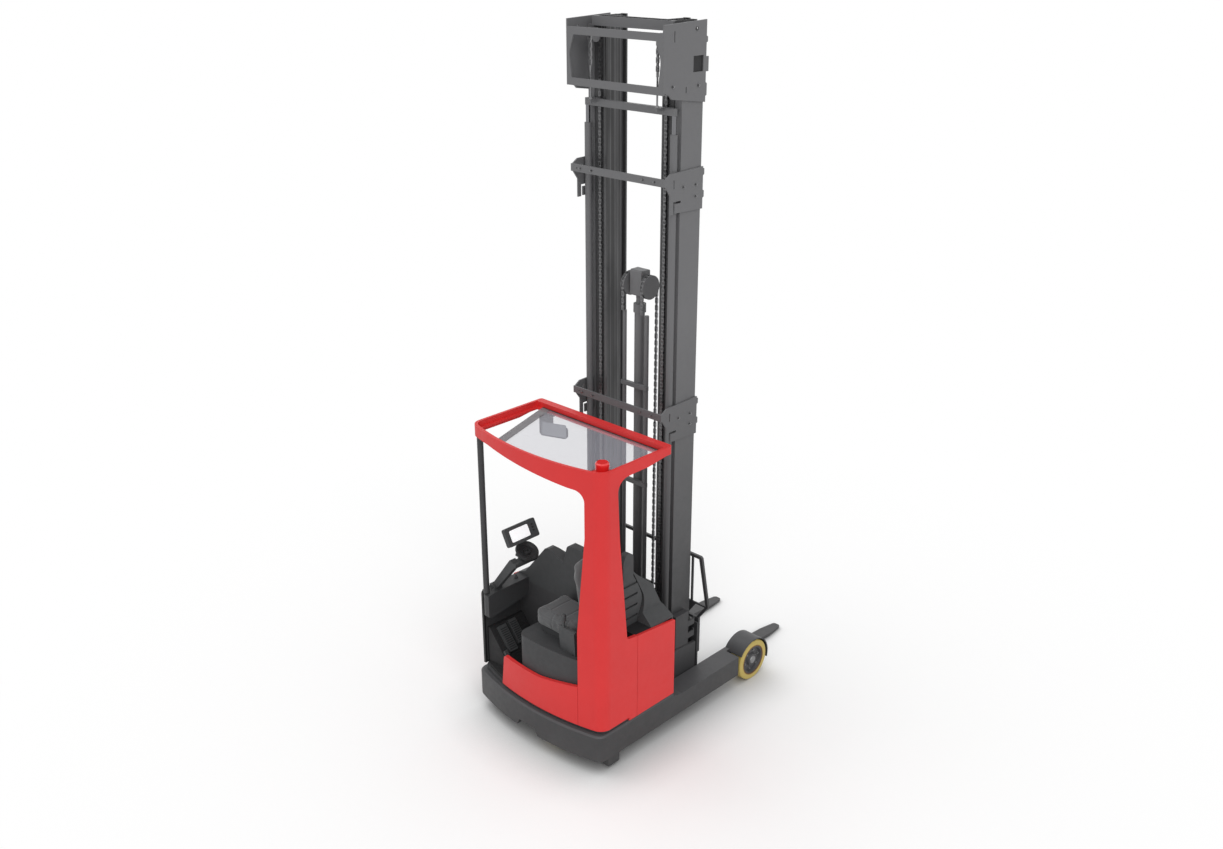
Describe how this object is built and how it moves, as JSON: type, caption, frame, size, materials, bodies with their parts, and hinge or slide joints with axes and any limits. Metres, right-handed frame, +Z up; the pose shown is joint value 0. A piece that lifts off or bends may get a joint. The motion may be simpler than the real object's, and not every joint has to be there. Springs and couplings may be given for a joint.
{
  "type": "electric reach truck",
  "caption": "Sit-on electric reach truck with a roofed cab, two load arms, a sliding three-stage lift mast, and tilting, side-shifting forks.",
  "frame": {"origin": "on the floor, on the centre line, halfway between the tail of the chassis and the fork tips", "axes": "+X forward to the fork tips, +Y to the left, +Z up"},
  "size_m": [2.524, 1.27, 4.912],
  "materials": {
    "frame_grey": "satin dark grey paint",
    "mast_grey": "satin dark grey paint",
    "fork_grey": "satin dark grey paint",
    "panel_red": "semi-gloss red paint",
    "cab_plastic": "moulded dark grey plastic",
    "battery_case": "painted battery trough, lead cells inside",
    "tyre": "pale yellow polyurethane tread",
    "hub_grey": "painted cast iron",
    "roof_glass": "clear tinted panel",
    "beacon_lens": "red translucent lens",
    "rubber_mat": "ribbed rubber",
    "seat_fabric": "woven dark grey cloth",
    "rod_chrome": "polished rod",
    "chain_steel": "oiled steel"
  },
  "bodies": {
    "chassis": {"chassis_frame": "frame_grey", "load_arm_left": "frame_grey", "load_arm_right": "frame_grey", "stabiliser_feet": "frame_grey", "battery_block": "battery_case", "rear_panel": "panel_red", "corner_column": "panel_red", "left_panel": "panel_red", "battery_covers": "panel_red", "bay_walls": "frame_grey", "hood": "cab_plastic", "roof_frame": "panel_red", "roof_glass": "roof_glass", "roof_post": "frame_grey", "beacon": "beacon_lens", "mirror": "cab_plastic", "operator_floor": "rubber_mat", "pedals": "rubber_mat", "console": "cab_plastic", "steering_column": "cab_plastic", "display": "cab_plastic", "seat_base": "cab_plastic", "seat_cushion": "seat_fabric", "seat_back": "seat_fabric", "armrest": "cab_plastic"},
    "drive_turret": {"drive_unit": "hub_grey"},
    "drive_wheel": {"drive_tyre": "tyre", "drive_hub": "hub_grey"},
    "load_wheel_left": {"load_tyre_left": "tyre", "load_hub_left": "hub_grey"},
    "load_wheel_right": {"load_tyre_right": "tyre", "load_hub_right": "hub_grey"},
    "steering_wheel": {"hand_wheel": "cab_plastic"},
    "mast_outer": {"reach_carriage": "mast_grey", "outer_rails": "mast_grey", "outer_crossbars": "mast_grey", "mast_head": "mast_grey", "lift_cylinders": "mast_grey"},
    "mast_middle": {"middle_stage": "mast_grey", "lift_rods": "rod_chrome", "lift_chains": "chain_steel"},
    "mast_inner": {"inner_stage": "mast_grey", "free_lift_cylinder": "mast_grey"},
    "free_lift": {"free_lift_head": "mast_grey", "free_lift_chains": "chain_steel"},
    "carriage": {"fork_carriage": "mast_grey"},
    "tilting_frame": {"tilt_frame": "mast_grey"},
    "shifting_frame": {"shift_frame": "mast_grey", "backrest": "mast_grey", "fork_left": "fork_grey", "fork_right": "fork_grey"}
  },
  "joints": [
    {"name": "mast_reach", "type": "slide", "parent": "chassis", "child": "mast_outer", "axis": [1, 0, 0], "range_m": [0, 0.56]},
    {"name": "middle_stage_lift", "type": "slide", "parent": "mast_outer", "child": "mast_middle", "axis": [0, 0, 1], "range_m": [0, 3.7]},
    {"name": "inner_stage_lift", "type": "slide", "parent": "mast_middle", "child": "mast_inner", "axis": [0, 0, 1], "range_m": [0, 3.7]},
    {"name": "carriage_lift", "type": "slide", "parent": "mast_inner", "child": "carriage", "axis": [0, 0, 1], "range_m": [0, 3]},
    {"name": "free_lift_rise", "type": "slide", "parent": "mast_inner", "child": "free_lift", "axis": [0, 0, 1], "range_m": [0, 1.5]},
    {"name": "fork_tilt", "type": "hinge", "parent": "carriage", "child": "tilting_frame", "pos_m": [0.043, 0, 0.588], "axis": [0, -1, 0], "range_deg": [-2, 3]},
    {"name": "side_shift", "type": "slide", "parent": "tilting_frame", "child": "shifting_frame", "axis": [0, 1, 0], "range_m": [-0.075, 0.075]},
    {"name": "drive_steering", "type": "hinge", "parent": "chassis", "child": "drive_turret", "pos_m": [-0.985, -0.13, 0.4], "axis": [0, 0, 1], "range_deg": [-90, 90]},
    {"name": "drive_wheel_spin", "type": "hinge", "parent": "drive_turret", "child": "drive_wheel", "pos_m": [-0.985, -0.13, 0.1715], "axis": [0, 1, 0], "continuous": true},
    {"name": "load_wheel_left_spin", "type": "hinge", "parent": "chassis", "child": "load_wheel_left", "pos_m": [0.52, 0.576, 0.163], "axis": [0, 1, 0], "continuous": true},
    {"name": "load_wheel_right_spin", "type": "hinge", "parent": "chassis", "child": "load_wheel_right", "pos_m": [0.52, -0.576, 0.163], "axis": [0, 1, 0], "continuous": true},
    {"name": "steering_wheel_spin", "type": "hinge", "parent": "chassis", "child": "steering_wheel", "pos_m": [-0.931, 0.33, 1.306], "axis": [0, -0.5, 0.866], "continuous": true}
  ],
  "couplings": [
    {"joint": "inner_stage_lift", "follows": "middle_stage_lift", "ratio": 1},
    {"joint": "free_lift_rise", "follows": "carriage_lift", "ratio": 0.5}
  ]
}
